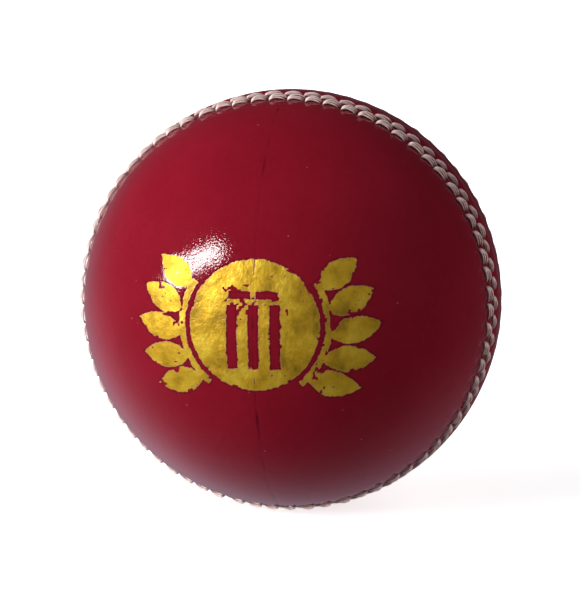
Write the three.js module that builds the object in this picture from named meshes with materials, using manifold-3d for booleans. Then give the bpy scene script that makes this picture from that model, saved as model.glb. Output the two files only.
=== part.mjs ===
// A four-piece cricket ball, opened up into the pieces it is sewn and wound from.
//
// Millimetres, +Z up, origin at the centre of the ball. The Y axis passes through the middle of each
// leather cup, so the sewn seam runs round the ball in the XZ plane. The front cup, which carries the
// stamped foil, faces -Y. Each cup is two leather quarters: the front pair meets on the plane x = 0 and
// the back pair on z = 0, so the two quarter seams lie at right angles to each other.

import * as THREE from "three";
import { mergeVertices } from "three/addons/utils/BufferGeometryUtils.js";
import Module from "manifold-3d";

// ---- driving dimensions ------------------------------------------------------------------------

const ballRadius = 36;
const leatherThickness = 3.6;
const liningThickness = 0.8;
const gap = 0.3; // left between neighbours that touch on the real ball

// Layers of the wound core, from the middle out.
const nucleusRadius = 15;
const innerWindingThickness = 2.7;
const innerCorkThickness = 2.0;
const middleWindingThickness = 3.0;
const outerCorkThickness = 2.0;
const yarnTuckRadius = 1.6; // opening at the back of each winding, where its yarn is tucked in

// The sewn seam. Distances along the surface are measured from the joint between the two cups.
const outerRowOffset = 8.4;
const middleRowOffset = 5.1;
const stitchWidth = 1.9;
const stitchProud = 0.45; // height of the stitches above the ball
const stitchSunk = 0.85; // depth of the stitches below the ball
const stitchShoulderDrop = 0.4; // from the top of a row's section to its shoulders
const stitchTopShare = 0.4; // of the section's width, at its top
const stitchFootShare = 0.7; // of the section's width, at its foot
const seamLipOffset = 2.2;
const seamLipEdgeOffset = 1;
const seamLipHeight = 0.25;
const jointEdgeDrop = 0.15;
const closingRowRadius = 34.1; // middle of the hidden rows that draw the two cups together
const closingThreadDiameter = 1.1;
const closingRowSetback = 0.2; // from the joint to the near side of a closing row
const closingRowSides = 6;

// The hidden stitching of the quarter seams, and the lining behind it.
const quarterThreadDiameter = 0.8;
const quarterThreadRadius = 33.6;
const quarterThreadEndOffset = 13.5;
const quarterThreadSides = 6;
const liningEndOffset = 12;

// The foil stamp on the front cup.
const foilLift = 0.1;
const foilThickness = 0.15;
const roundelRadius = 10.6;
const roundelSegments = 32;
const stampHalfWidth = 20.2;
const foilDomeHalfAngle = 45; // degrees from the front pole, wide enough for the whole stamp

// Facets round the ball and along its profile.
const leatherSegments = 36;
const coreSegments = 20;
const leatherStep = 9;
const coreStep = 18;

const reach = ballRadius + 5; // far enough to be outside the ball

// ---- solids ------------------------------------------------------------------------------------

const wasm = await Module();
wasm.setup();

/** The closed solid that a three.js geometry bounds. */
function solidFrom(geometry) {
  const bare = geometry.clone();
  bare.deleteAttribute("normal");
  bare.deleteAttribute("uv");
  const merged = mergeVertices(bare, 1e-4);
  return new wasm.Manifold(
    new wasm.Mesh({
      numProp: 3,
      vertProperties: new Float32Array(merged.attributes.position.array),
      triVerts: new Uint32Array(merged.index.array),
    }),
  );
}

/** A flat-shaded geometry that shows a solid. */
function geometryFrom(solid) {
  const { vertProperties, triVerts } = solid.getMesh();
  const geometry = new THREE.BufferGeometry();
  geometry.setAttribute("position", new THREE.BufferAttribute(vertProperties, 3));
  geometry.setIndex(new THREE.BufferAttribute(triVerts, 1));
  const faceted = geometry.toNonIndexed();
  faceted.computeVertexNormals();
  return faceted;
}

/** A box between two corners. */
function boxBetween(low, high) {
  const size = new THREE.Vector3().subVectors(high, low);
  const middle = new THREE.Vector3().addVectors(low, high).multiplyScalar(0.5);
  const box = new THREE.BoxGeometry(size.x, size.y, size.z);
  return solidFrom(box.translate(middle.x, middle.y, middle.z));
}

/** A solid turned about the Y axis from a profile of [radius, y] points that runs from -Y to +Y. */
function turned(profile, segments) {
  const points = profile.map(([radius, y]) => new THREE.Vector2(radius, y));
  return solidFrom(new THREE.LatheGeometry(points, segments));
}

// A latitude is the angle in degrees from the XZ plane, so -90 is the front pole and 90 the back pole.

/** The profile point on a sphere at a latitude. */
function onSphere(radius, latitude) {
  const angle = THREE.MathUtils.degToRad(latitude);
  return [Math.abs(latitude) === 90 ? 0 : radius * Math.cos(angle), radius * Math.sin(angle)];
}

/** The profile points of an arc about the centre of the ball, about `step` degrees apart. */
function arc(radius, from, to, step) {
  const count = Math.max(1, Math.ceil(Math.abs(to - from) / step - 1e-6));
  return Array.from({ length: count + 1 }, (_, i) => onSphere(radius, from + ((to - from) * i) / count));
}

/** The latitude of a point on the ball, at a distance along its surface from the joint. */
function latitudeAt(offset, radius = ballRadius) {
  return THREE.MathUtils.radToDeg(offset / radius);
}

/** A winding of yarn: a round shell, open at the back where the end of the yarn is tucked in. */
function winding(innerRadius, outerRadius) {
  const tuckLatitude = (radius) => THREE.MathUtils.radToDeg(Math.acos(yarnTuckRadius / radius));
  return turned(
    [
      ...arc(outerRadius, -90, tuckLatitude(outerRadius), coreStep),
      ...arc(innerRadius, tuckLatitude(innerRadius), -90, coreStep),
    ],
    coreSegments,
  );
}

/** The front half of a cut sheet of cork, pressed round the winding below it. */
function frontCork(innerRadius, outerRadius) {
  const edge = latitudeAt(gap / 2, innerRadius);
  return turned(
    [...arc(outerRadius, -90, -edge, coreStep), ...arc(innerRadius, -edge, -90, coreStep)],
    coreSegments,
  );
}

/** The thin leather dish glued inside the front cup, behind its quarter seam. */
function frontLining(innerRadius, outerRadius) {
  const edge = latitudeAt(liningEndOffset);
  return turned(
    [...arc(outerRadius, -90, -edge, coreStep), ...arc(innerRadius, -edge, -90, coreStep)],
    coreSegments,
  );
}

// ---- the sewn seam -----------------------------------------------------------------------------

/** The corners of a stitch row's rounded section at a latitude, grown by a clearance. */
function rowSection(offset, clearance) {
  const middle = -latitudeAt(offset);
  const half = latitudeAt(stitchWidth / 2 + clearance);
  const top = ballRadius + stitchProud;
  const shoulder = top - stitchShoulderDrop;
  const bottom = ballRadius - stitchSunk - clearance;
  return { middle, half, top, shoulder, bottom };
}

/** One row of the front cup's visible stitches, as a rounded ring. */
function frontStitchRow(offset) {
  const { middle, half, top, shoulder, bottom } = rowSection(offset, 0);
  const section = [
    onSphere(bottom, middle - half * stitchFootShare),
    onSphere(shoulder, middle - half),
    onSphere(top, middle - half * stitchTopShare),
    onSphere(top, middle + half * stitchTopShare),
    onSphere(shoulder, middle + half),
    onSphere(bottom, middle + half * stitchFootShare),
    onSphere(bottom, middle - half * stitchFootShare),
  ];
  return turned(section, leatherSegments);
}

/** The profile points of the channel that a stitch row lies in, from its pole side to its seam side. */
function rowChannel(offset, surfaceRadius) {
  const { middle, half, bottom } = rowSection(offset, gap);
  return [
    onSphere(surfaceRadius, middle - half),
    onSphere(bottom, middle - half),
    onSphere(bottom, middle + half),
    onSphere(surfaceRadius, middle + half),
  ];
}

/** One of the two hidden rows that draw the cups together, in the notch of the front cup's edge. */
function frontClosingRow() {
  const radius = closingThreadDiameter / 2;
  const middle = -(closingRowSetback + radius);
  const section = Array.from({ length: closingRowSides + 1 }, (_, i) => {
    const angle = -((i % closingRowSides) / closingRowSides) * 2 * Math.PI;
    return [closingRowRadius - radius * Math.cos(angle), middle - radius * Math.sin(angle)];
  });
  return turned(section.reverse(), leatherSegments);
}

/** The front leather cup before it is cut into quarters: its channels, its raised lip and its edge. */
function frontCup() {
  const innerRadius = ballRadius - leatherThickness;
  const lipRadius = ballRadius + seamLipHeight;
  const edgeY = -gap / 2;
  const notchHalf = closingThreadDiameter / 2 + gap;
  const notchDepth = edgeY - closingThreadDiameter - gap;
  const poleSide = rowSection(outerRowOffset, gap);
  return turned(
    [
      ...arc(ballRadius, -90, poleSide.middle - poleSide.half, leatherStep).slice(0, -1),
      ...rowChannel(outerRowOffset, ballRadius),
      ...rowChannel(middleRowOffset, ballRadius + seamLipHeight / 2),
      onSphere(lipRadius, -latitudeAt(seamLipOffset)),
      [lipRadius, -seamLipEdgeOffset],
      [ballRadius - jointEdgeDrop, edgeY],
      [closingRowRadius + notchHalf, edgeY],
      [closingRowRadius + notchHalf, notchDepth],
      [closingRowRadius - notchHalf, notchDepth],
      [closingRowRadius - notchHalf, edgeY],
      ...arc(innerRadius, -latitudeAt(gap / 2, innerRadius), -90, coreStep),
    ],
    leatherSegments,
  );
}

/** The thread of the front quarter seam, or its channel: an arc across the cup in the plane x = 0. */
function frontQuarterThread(diameter, endOffset) {
  const tube = diameter / 2;
  const ring = new THREE.TorusGeometry(quarterThreadRadius, tube, quarterThreadSides, leatherSegments);
  const endY = -ballRadius * Math.sin(endOffset / ballRadius);
  const frontSide = boxBetween(
    new THREE.Vector3(-reach, -reach, -reach),
    new THREE.Vector3(reach, endY, reach),
  );
  return solidFrom(ring.rotateY(Math.PI / 2)).intersect(frontSide);
}

/** The right or left quarter of the front cup: side is 1 for +X and -1 for -X. */
function frontQuarter(cup, side) {
  const near = (side * gap) / 2;
  const keep = boxBetween(
    new THREE.Vector3(side > 0 ? near : -reach, -reach, -reach),
    new THREE.Vector3(side > 0 ? reach : near, 0, reach),
  );
  const channel = frontQuarterThread(quarterThreadDiameter + 2 * gap, quarterThreadEndOffset - gap);
  return cup.intersect(keep).subtract(channel);
}

// ---- the foil stamp ----------------------------------------------------------------------------

// A plain wicket in a roundel, between two leaf sprays. Outlines are drawn in x and z.

/** The thin dome of foil over the front pole that the stamp is cut from. */
function foilDome() {
  const inner = ballRadius + foilLift;
  const edge = -90 + foilDomeHalfAngle;
  return turned(
    [
      ...arc(inner + foilThickness, -90, edge, leatherStep),
      ...arc(inner, edge, -90, leatherStep),
    ],
    leatherSegments,
  );
}

/** A straight block of an outline, long enough to cut through the foil dome. Side -1 mirrors it in x. */
function stampBlock(outline, side = 1) {
  const { shape } = outline.extractPoints(5);
  const corners = shape.map((corner) => new THREE.Vector2(side * corner.x, corner.y));
  const block = new THREE.ExtrudeGeometry(new THREE.Shape(corners), { depth: reach, bevelEnabled: false });
  return solidFrom(block.rotateX(Math.PI / 2));
}

/** A rectangular block between two corners of the stamp. */
function stampBar(left, right, low, high) {
  const corners = [
    new THREE.Vector2(left, low),
    new THREE.Vector2(right, low),
    new THREE.Vector2(right, high),
    new THREE.Vector2(left, high),
  ];
  return stampBlock(new THREE.Shape(corners));
}

/** A disc with three stumps and two bails left out of it. */
function wicketRoundel() {
  const stumpWidth = 1.7;
  const stumpSpacing = 3.5;
  const stumpLow = -7;
  const stumpHigh = 3.4;
  const bailLow = 4.3;
  const bailHigh = 5.5;
  const bailInner = 0.4;
  const bailOuter = stumpSpacing + 0.5;
  const rim = Array.from({ length: roundelSegments }, (_, i) => {
    const angle = (i / roundelSegments) * 2 * Math.PI;
    return new THREE.Vector2(roundelRadius * Math.cos(angle), roundelRadius * Math.sin(angle));
  });
  let roundel = stampBlock(new THREE.Shape(rim));
  for (const place of [-1, 0, 1]) {
    const left = place * stumpSpacing - stumpWidth / 2;
    roundel = roundel.subtract(stampBar(left, left + stumpWidth, stumpLow, stumpHigh));
  }
  roundel = roundel.subtract(stampBar(-bailOuter, -bailInner, bailLow, bailHigh));
  return roundel.subtract(stampBar(bailInner, bailOuter, bailLow, bailHigh));
}

/** A pointed leaf from a base point, at an angle from +X in degrees. */
function leafOutline(base, length, angle) {
  const bellyShare = 0.45; // of the length, from the base to the widest part
  const bellyReach = 4.4; // of the curves' control points, about twice the leaf's half width
  const turn = THREE.MathUtils.degToRad(angle);
  const along = new THREE.Vector2(Math.cos(turn), Math.sin(turn));
  const across = new THREE.Vector2(-along.y, along.x);
  const tip = base.clone().addScaledVector(along, length);
  const belly = base.clone().addScaledVector(along, length * bellyShare);
  const left = belly.clone().addScaledVector(across, bellyReach);
  const right = belly.clone().addScaledVector(across, -bellyReach);
  const outline = new THREE.Shape();
  outline.moveTo(base.x, base.y);
  outline.quadraticCurveTo(right.x, right.y, tip.x, tip.y);
  outline.quadraticCurveTo(left.x, left.y, base.x, base.y);
  return outline;
}

/** A leaf spray beside the roundel: a curved stem with leaves fanned out from it. Side is 1 for +X. */
function leafSpray(side) {
  const stemInner = roundelRadius + 0.8;
  const stemOuter = stemInner + 1.1;
  const stemMiddle = (stemInner + stemOuter) / 2;
  const middleBaseAngle = -8; // degrees round the stem, of the middle leaf's base
  const baseSpacing = 19;
  const middleLeafAngle = 14; // degrees from +X, of the middle leaf
  const leafFan = 13;
  const leafOverlap = 0.3;
  const upperLeafShortening = 0.6;
  const stemLow = THREE.MathUtils.degToRad(-52);
  const stemHigh = THREE.MathUtils.degToRad(36);
  const stem = new THREE.Shape();
  stem.absarc(0, 0, stemOuter, stemLow, stemHigh, false);
  stem.absarc(0, 0, stemInner, stemHigh, stemLow, true);
  let spray = stampBlock(stem, side);
  for (const place of [-2, -1, 0, 1, 2]) {
    const baseAngle = THREE.MathUtils.degToRad(middleBaseAngle + place * baseSpacing);
    const base = new THREE.Vector2(Math.cos(baseAngle), Math.sin(baseAngle)).multiplyScalar(stemMiddle);
    const shortening = upperLeafShortening * Math.max(0, place);
    const length = stampHalfWidth - stemMiddle + leafOverlap - shortening;
    const leaf = leafOutline(base, length, middleLeafAngle + place * leafFan);
    spray = spray.add(stampBlock(leaf, side));
  }
  return spray;
}

// ---- materials ---------------------------------------------------------------------------------

function finish(color, roughness, metalness = 0) {
  return new THREE.MeshStandardMaterial({ color, roughness, metalness, flatShading: true });
}

const crimsonLeather = () => finish("#8f1423", 0.22);
const liningLeather = () => finish("#b58a5e", 0.8);
const seamThread = () => finish("#e6dcd6", 0.75);
const hiddenThread = () => finish("#c9b8a2", 0.8);
const woolYarn = () => finish("#c8b99a", 0.95);
const cutCork = () => finish("#b98a58", 0.85);
const corkRubber = () => finish("#7a5236", 0.9);
const goldFoil = () => finish("#d9b42c", 0.25, 1);

// ---- assembly ----------------------------------------------------------------------------------

const ball = new THREE.Group();
ball.name = "cricket_ball";

// The back half is the front half turned half round the Z axis and then a quarter round the Y axis,
// which puts its quarter seam at right angles to the front one.
const frontHalf = new THREE.Group();
const backHalf = new THREE.Group();
backHalf.rotation.set(0, Math.PI / 2, Math.PI, "YZX");
ball.add(frontHalf, backHalf);

function addPiece(parent, name, solid, material) {
  const piece = new THREE.Mesh(geometryFrom(solid), material);
  piece.name = name;
  parent.add(piece);
}

// The wound core. Each layer starts a gap above the one below it.
let layerFloor = nucleusRadius;

function nextLayer(thickness) {
  const inner = layerFloor + gap;
  const outer = inner + thickness;
  layerFloor = outer;
  return [inner, outer];
}

function addCorkLayer(name, thickness) {
  const cork = frontCork(...nextLayer(thickness));
  addPiece(frontHalf, `${name}_front`, cork, cutCork());
  addPiece(backHalf, `${name}_back`, cork, cutCork());
}

const leatherFloor = ballRadius - leatherThickness;
const liningOuter = leatherFloor - gap;
const liningInner = liningOuter - liningThickness;

const nucleus = turned(arc(nucleusRadius, -90, 90, coreStep), coreSegments);
addPiece(ball, "core_nucleus", nucleus, corkRubber());
addPiece(ball, "yarn_winding_inner", winding(...nextLayer(innerWindingThickness)), woolYarn());
addCorkLayer("cork_wrap_inner", innerCorkThickness);
addPiece(ball, "yarn_winding_middle", winding(...nextLayer(middleWindingThickness)), woolYarn());
addCorkLayer("cork_wrap_outer", outerCorkThickness);
const outerWinding = winding(layerFloor + gap, liningInner - gap);
addPiece(ball, "yarn_winding_outer", outerWinding, woolYarn());

// The two leather cups, each with its lining, its quarter seam and three rows of seam stitches.
const cup = frontCup();
const lining = frontLining(liningInner, liningOuter);
const quarterThread = frontQuarterThread(quarterThreadDiameter, quarterThreadEndOffset);
const stitchRows = {
  outer: frontStitchRow(outerRowOffset),
  middle: frontStitchRow(middleRowOffset),
};
const closingRow = frontClosingRow();

function addHalf(half, place, quarterNames) {
  addPiece(half, `cup_lining_${place}`, lining, liningLeather());
  addPiece(half, `quarter_seam_thread_${place}`, quarterThread, hiddenThread());
  addPiece(half, `leather_quarter_${place}_${quarterNames[0]}`, frontQuarter(cup, -1), crimsonLeather());
  addPiece(half, `leather_quarter_${place}_${quarterNames[1]}`, frontQuarter(cup, 1), crimsonLeather());
  for (const [row, ring] of Object.entries(stitchRows)) {
    addPiece(half, `seam_stitches_${place}_${row}`, ring, seamThread());
  }
  addPiece(half, `closing_stitches_${place}`, closingRow, hiddenThread());
}

addHalf(frontHalf, "front", ["left", "right"]);
addHalf(backHalf, "back", ["lower", "upper"]);

// The foil stamp.
const dome = foilDome();
addPiece(ball, "foil_wicket_roundel", dome.intersect(wicketRoundel()), goldFoil());
addPiece(ball, "foil_leaf_spray_left", dome.intersect(leafSpray(-1)), goldFoil());
addPiece(ball, "foil_leaf_spray_right", dome.intersect(leafSpray(1)), goldFoil());

export default ball;
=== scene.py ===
"""A cricket ball: four leather quarters, seam stitches, a worn foil stamp and a wound core.

Lengths are in millimetres until a mesh is stored, when they become metres. Each cup of the ball is
worked out once, as the front cup, whose pole is at -Y; the back cup is the same cup turned over.
On a cup, `offset` is the distance along the surface from the joint between the cups, `phi` is the
angle round the Y axis from +X towards +Z, and `height` is the distance outside the bare ball.
"""

import math

import bpy
import numpy as np
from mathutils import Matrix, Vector
from mathutils.geometry import delaunay_2d_cdt


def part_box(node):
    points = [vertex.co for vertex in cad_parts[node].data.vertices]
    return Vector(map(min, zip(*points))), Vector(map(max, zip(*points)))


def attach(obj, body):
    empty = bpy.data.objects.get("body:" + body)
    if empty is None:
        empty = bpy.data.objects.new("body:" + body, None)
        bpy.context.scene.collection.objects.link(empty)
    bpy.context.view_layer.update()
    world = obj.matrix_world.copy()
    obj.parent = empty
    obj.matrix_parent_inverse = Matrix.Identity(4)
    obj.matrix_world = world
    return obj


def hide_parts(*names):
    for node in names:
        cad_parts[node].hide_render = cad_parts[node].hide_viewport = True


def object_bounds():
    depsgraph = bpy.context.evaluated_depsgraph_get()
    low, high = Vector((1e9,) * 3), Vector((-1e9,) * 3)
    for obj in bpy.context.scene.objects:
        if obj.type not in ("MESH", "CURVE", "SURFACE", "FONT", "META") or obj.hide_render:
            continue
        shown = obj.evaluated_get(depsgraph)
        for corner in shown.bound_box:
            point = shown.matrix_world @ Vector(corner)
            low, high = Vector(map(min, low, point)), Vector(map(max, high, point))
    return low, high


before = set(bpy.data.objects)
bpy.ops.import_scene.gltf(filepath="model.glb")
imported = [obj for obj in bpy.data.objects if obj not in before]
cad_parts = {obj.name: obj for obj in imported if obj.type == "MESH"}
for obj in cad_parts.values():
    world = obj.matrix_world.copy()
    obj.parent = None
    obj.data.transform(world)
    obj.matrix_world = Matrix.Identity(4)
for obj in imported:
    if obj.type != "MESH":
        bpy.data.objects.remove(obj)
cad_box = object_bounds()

MM = 0.001
BODY = "root"


# ---- sizes from the frame --------------------------------------------

def box_mm(node):
    """The lowest and highest corner of a CAD node, in millimetres."""
    low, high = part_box(node)
    return np.array(low) / MM, np.array(high) / MM


def row_offset(node):
    """How far a CAD row of front stitches lies from the joint, along the ball's surface."""
    low, high = box_mm(node)
    return BALL * math.asin(-(low[1] + high[1]) / 2 / BALL)


BALL = -box_mm("leather_quarter_front_left")[0][1]
QUARTER_BOX = box_mm("leather_quarter_front_right")
LIP_HEIGHT = QUARTER_BOX[1][0] - BALL
OUTER_ROW = row_offset("seam_stitches_front_outer")
MIDDLE_ROW = row_offset("seam_stitches_front_middle")
LAYER_GAP = 0.3  # between the layers of the ball
LINING_OUTER = -box_mm("cup_lining_front")[0][1]
LEATHER_INNER = LINING_OUTER + LAYER_GAP
CUP_LENGTH = BALL * math.pi / 2  # along the surface, from the joint to the pole


# ---- number helpers --------------------------------------------------

def smooth_step(low, high, x):
    """0 up to low and 1 from high, with a smooth rise between them."""
    t = np.clip((x - low) / (high - low), 0, 1)
    return t * t * (3 - 2 * t)


def bump(x, width):
    """A smooth hill of height 1 at 0."""
    return np.exp(-((x / width) ** 2))


def noise(points, size, seed):
    """Smooth noise between -1 and 1, with features of about `size`, at an (n, 3) array of points."""
    lattice = np.random.default_rng(seed).uniform(-1, 1, (32, 32, 32))
    place = points / size + 500
    cell = np.floor(place).astype(int)
    part = place - cell
    part = part * part * (3 - 2 * part)
    total = np.zeros(len(points))
    for corner in np.ndindex(2, 2, 2):
        weight = np.prod(np.where(corner, part, 1 - part), axis=1)
        total += weight * lattice[tuple(((cell + corner) % 32).T)]
    return total


def spline(knots, values, x):
    """A smooth curve through values at knots."""
    knots, values = np.asarray(knots, float), np.asarray(values, float)
    slopes = np.gradient(values, knots)
    i = np.clip(np.searchsorted(knots, x, side="right") - 1, 0, len(knots) - 2)
    width = knots[i + 1] - knots[i]
    t = (x - knots[i]) / width
    return (
        (1 + 2 * t) * (1 - t) ** 2 * values[i]
        + t * (1 - t) ** 2 * width * slopes[i]
        + t * t * (3 - 2 * t) * values[i + 1]
        + t * t * (t - 1) * width * slopes[i + 1]
    )


def on_cup(offset, phi, height):
    """Points of the front cup, as an array whose last axis is x, y, z."""
    latitude = offset / BALL
    radius = BALL + height
    return np.stack(
        [
            radius * np.cos(latitude) * np.cos(phi),
            -radius * np.sin(latitude),
            radius * np.cos(latitude) * np.sin(phi),
        ],
        axis=-1,
    )


def turned_over(points):
    """Front cup points carried to the back cup, whose quarter seam is at right angles to the front's."""
    return np.stack([points[..., 2], -points[..., 1], points[..., 0]], axis=-1)


# ---- meshes ----------------------------------------------------------

def add_piece(name, points, faces, material, nodes, values=None, sharp_angle=45):
    """Stores a piece as a mesh and puts it in the frame in place of its CAD nodes.

    faces is a list of arrays of corner numbers, one array for each number of corners, and values maps
    the name of a number kept at each vertex, which a material reads, to those numbers."""
    mesh = bpy.data.meshes.new(name)
    corners = np.concatenate([f.ravel() for f in faces])
    sizes = np.concatenate([np.full(len(f), f.shape[1]) for f in faces])
    mesh.vertices.add(len(points))
    mesh.vertices.foreach_set("co", (np.asarray(points) * MM).ravel())
    mesh.loops.add(len(corners))
    mesh.loops.foreach_set("vertex_index", corners.astype(np.int32))
    mesh.polygons.add(len(sizes))
    mesh.polygons.foreach_set("loop_start", np.concatenate([[0], np.cumsum(sizes)[:-1]]).astype(np.int32))
    mesh.update(calc_edges=True)
    mesh.validate()
    mesh.polygons.foreach_set("use_smooth", np.ones(len(mesh.polygons), bool))
    mesh.set_sharp_from_angle(angle=math.radians(sharp_angle))
    for key, numbers in (values or {}).items():
        mesh.attributes.new(key, "FLOAT", "POINT").data.foreach_set("value", numbers)
    mesh.materials.append(material)
    piece = bpy.data.objects.new(name, mesh)
    bpy.context.scene.collection.objects.link(piece)
    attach(piece, BODY)
    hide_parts(*nodes)
    return piece


def triangulate(flat):
    """Delaunay triangles, facing up, over an (n, 2) array of points that fills a convex region."""
    _, _, made, sources, _, _ = delaunay_2d_cdt([Vector(p) for p in flat], [], [], 0, 1e-9)
    first = np.array([s[0] for s in sources])
    corners = first[np.array(made)]
    a, b, c = (flat[corners[:, i]] for i in range(3))
    area = np.cross(b - a, c - a)
    corners[area < 0] = corners[area < 0][:, ::-1]
    return corners[np.abs(area) > 1e-7]


def rim_edges(triangles):
    """The edges that only one triangle uses, as pairs of corners in that triangle's own order."""
    edges = np.concatenate([triangles[:, [0, 1]], triangles[:, [1, 2]], triangles[:, [2, 0]]])
    key = np.sort(edges, axis=1)
    _, index, count = np.unique(key, axis=0, return_index=True, return_counts=True)
    return edges[index[count == 1]]


def sweep(centres, ups, radii, sides, twist, strands, relief):
    """Closed tubes of twisted strands along (tubes, steps, 3) centres.

    twist is how far the strands have turned at each step. Returns points and a list of face arrays."""
    tubes, steps = centres.shape[:2]
    along = np.gradient(centres, axis=1)
    along /= np.linalg.norm(along, axis=2, keepdims=True)
    across = np.cross(along, ups)
    across /= np.linalg.norm(across, axis=2, keepdims=True)
    up = np.cross(across, along)
    turn = np.arange(sides) / sides * 2 * math.pi
    ring = np.cos(turn)[:, None] * across[:, :, None] + np.sin(turn)[:, None] * up[:, :, None]
    ridges = 1 + relief * np.cos(strands * (turn + twist[:, :, None]))
    walls = centres[:, :, None] + (radii[:, :, None] * ridges)[..., None] * ring
    per_tube = steps * sides
    number = np.arange(tubes * per_tube).reshape(tubes, steps, sides)
    after = np.roll(number, -1, axis=2)
    quads = np.stack([number[:, :-1], number[:, 1:], after[:, 1:], after[:, :-1]], axis=-1)
    start_caps = number[:, 0]
    end_caps = number[:, -1, ::-1]
    return walls.reshape(-1, 3), [quads.reshape(-1, 4), start_caps, end_caps]


# ---- the stitch rows -------------------------------------------------

STITCHES = 70  # in each row
PITCH = 2 * math.pi / STITCHES
PLIES = 3  # threads that lie side by side in each stitch

# Along one stitch, from its head on the pole side to its tail on the seam side.
STITCH_STEPS = np.concatenate([[0, 0.03, 0.06], np.linspace(0.1, 0.92, 17), [0.95, 0.975, 1]])
PLY_KNOTS = [0, 0.1, 0.3, 0.55, 0.8, 1]
PLY_OFFSETS = [  # towards the pole, from the middle of the row
    [0.92, 0.95, 0.62, 0.44, 0.34, 0.22],
    [0.72, 0.60, 0.08, -0.22, -0.50, -0.72],
    [0.54, 0.26, -0.46, -0.90, -1.28, -1.60],
]
PLY_STEP_UP = 0.17  # how much higher each ply crowns than the one on its pole side
HEIGHT_KNOTS = [0, 0.05, 0.12, 0.25, 0.45, 0.65, 0.82, 0.93, 1]
PLY_HEIGHTS = [-1.0, -0.02, 0.26, 0.40, 0.42, 0.32, 0.1, -0.2, -1.0]
RADIUS_KNOTS = [0, 0.12, 0.3, 0.6, 0.85, 1]
PLY_RADII = [0.17, 0.18, 0.14, 0.125, 0.115, 0.1]
PLY_SIDES = 10
TWIST_LENGTH = 1.1  # of a ply's own two strands, for one turn
SLACK = 0.08  # how much looser the stitches are near the top of the ball, where the sewing ends


def stitch_row(middle, start, seed, width=1.0, lift=0.0):
    """One row of stitches: where each begins, how long it is and how high it lies."""
    rng = np.random.default_rng(seed)
    row_radius = BALL * math.cos(middle / BALL)
    place = start - PITCH * np.arange(STITCHES)
    return {
        "middle": middle + rng.normal(0, 0.07, STITCHES),
        "phi": place + rng.normal(0, 0.045, STITCHES) * PITCH,
        "length": row_radius * PITCH * (0.94 + rng.normal(0, 0.03, STITCHES)),
        "radius": row_radius,
        "width": width,
        "lift": lift + SLACK * (np.sin(place) - 0.6) + rng.normal(0, 0.03, STITCHES),
        "seed": seed,
    }


def ply_paths(row):
    """The middle line of each ply of each stitch: offset, phi, height and radius, (plies, steps) each."""
    rng = np.random.default_rng(row["seed"] + 50)
    count = STITCHES * PLIES
    ply = np.tile(np.arange(PLIES), STITCHES)
    stitch = np.repeat(np.arange(STITCHES), PLIES)
    sway = np.array([spline(PLY_KNOTS, PLY_OFFSETS[p], STITCH_STEPS) for p in range(PLIES)])[ply]
    wander = rng.normal(0, 0.06, (count, 1)) * np.sin(STITCH_STEPS * math.pi)
    offset = row["middle"][stitch, None] + row["width"] * (sway + wander)
    reach = STITCH_STEPS + 0.05 * rng.normal(0, 1, (count, 1)) * STITCH_STEPS
    along = row["length"][stitch, None] * reach
    phi = row["phi"][stitch, None] - along / row["radius"]
    height = np.tile(spline(HEIGHT_KNOTS, PLY_HEIGHTS, STITCH_STEPS), (count, 1))
    crown = PLY_STEP_UP * (ply - 1)[:, None] * bump(STITCH_STEPS - 0.45, 0.45)
    lift = row["lift"][stitch, None] * smooth_step(0, 0.2, STITCH_STEPS)
    height += crown + lift + rng.normal(0, 0.02, (count, 1))
    radius = spline(RADIUS_KNOTS, PLY_RADII, STITCH_STEPS) * rng.normal(1, 0.04, (count, 1))
    return offset, phi, height, radius


def stitch_distance(row, offset, phi):
    """For points on the cup: how far the nearest stitch, stitch head and stitch tail are."""
    near = np.full((3, len(offset)), 99.0)
    index = np.floor((row["phi"][0] - phi) / PITCH).astype(int)
    for step in (-1, 0, 1):
        i = (index + step) % STITCHES
        gap = (row["phi"][i] - phi + math.pi) % (2 * math.pi) - math.pi
        along = gap * row["radius"]
        across = offset - row["middle"][i]
        head = np.array([0.12, 0.95 * row["width"]])
        tail = np.stack([row["length"][i] * 0.97, np.full(len(i), -0.42 * row["width"])])
        run = tail - head[:, None]
        from_head = np.stack([along - head[0], across - head[1]])
        part = np.clip((from_head * run).sum(0) / (run**2).sum(0), 0, 1)
        near[0] = np.minimum(near[0], np.hypot(*(from_head - part * run)))
        near[1] = np.minimum(near[1], np.hypot(*from_head))
        near[2] = np.minimum(near[2], np.hypot(along - tail[0], (across - tail[1]) * 0.6))
    return near


def cup_rows(seed, lift):
    """The two visible rows of a cup."""
    return {
        "outer": stitch_row(OUTER_ROW, 0.27 * PITCH, seed, width=0.8, lift=lift),
        "middle": stitch_row(MIDDLE_ROW, -0.38 * PITCH, seed + 1, width=0.74, lift=lift - 0.26),
    }


DRAWN_IN = {"front": 0.0, "back": 0.25}  # how much lower a cup's stitches lie than the front's
ROWS = {"front": cup_rows(11, -DRAWN_IN["front"]), "back": cup_rows(31, -DRAWN_IN["back"])}


def add_stitches(place, name, material):
    row = ROWS[place][name]
    offset, phi, height, radius = ply_paths(row)
    centres = on_cup(offset, phi, height)
    ups = on_cup(offset, phi, 1 - BALL)
    if place == "back":
        centres, ups = turned_over(centres), turned_over(ups)
    along = np.cumsum(np.linalg.norm(np.diff(centres, axis=1, prepend=centres[:, :1]), axis=2), axis=1)
    twist = along / TWIST_LENGTH * 2 * math.pi + np.arange(len(along))[:, None]
    points, faces = sweep(centres, ups, radius, PLY_SIDES, twist, 2, 0.07)
    height = np.linalg.norm(points, axis=1) - BALL
    node = f"seam_stitches_{place}_{name}"
    add_piece(f"{node}_plies", points, faces, material, [node], {"height": height}, 80)


# ---- the foil stamp's outline ----------------------------------------

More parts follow.
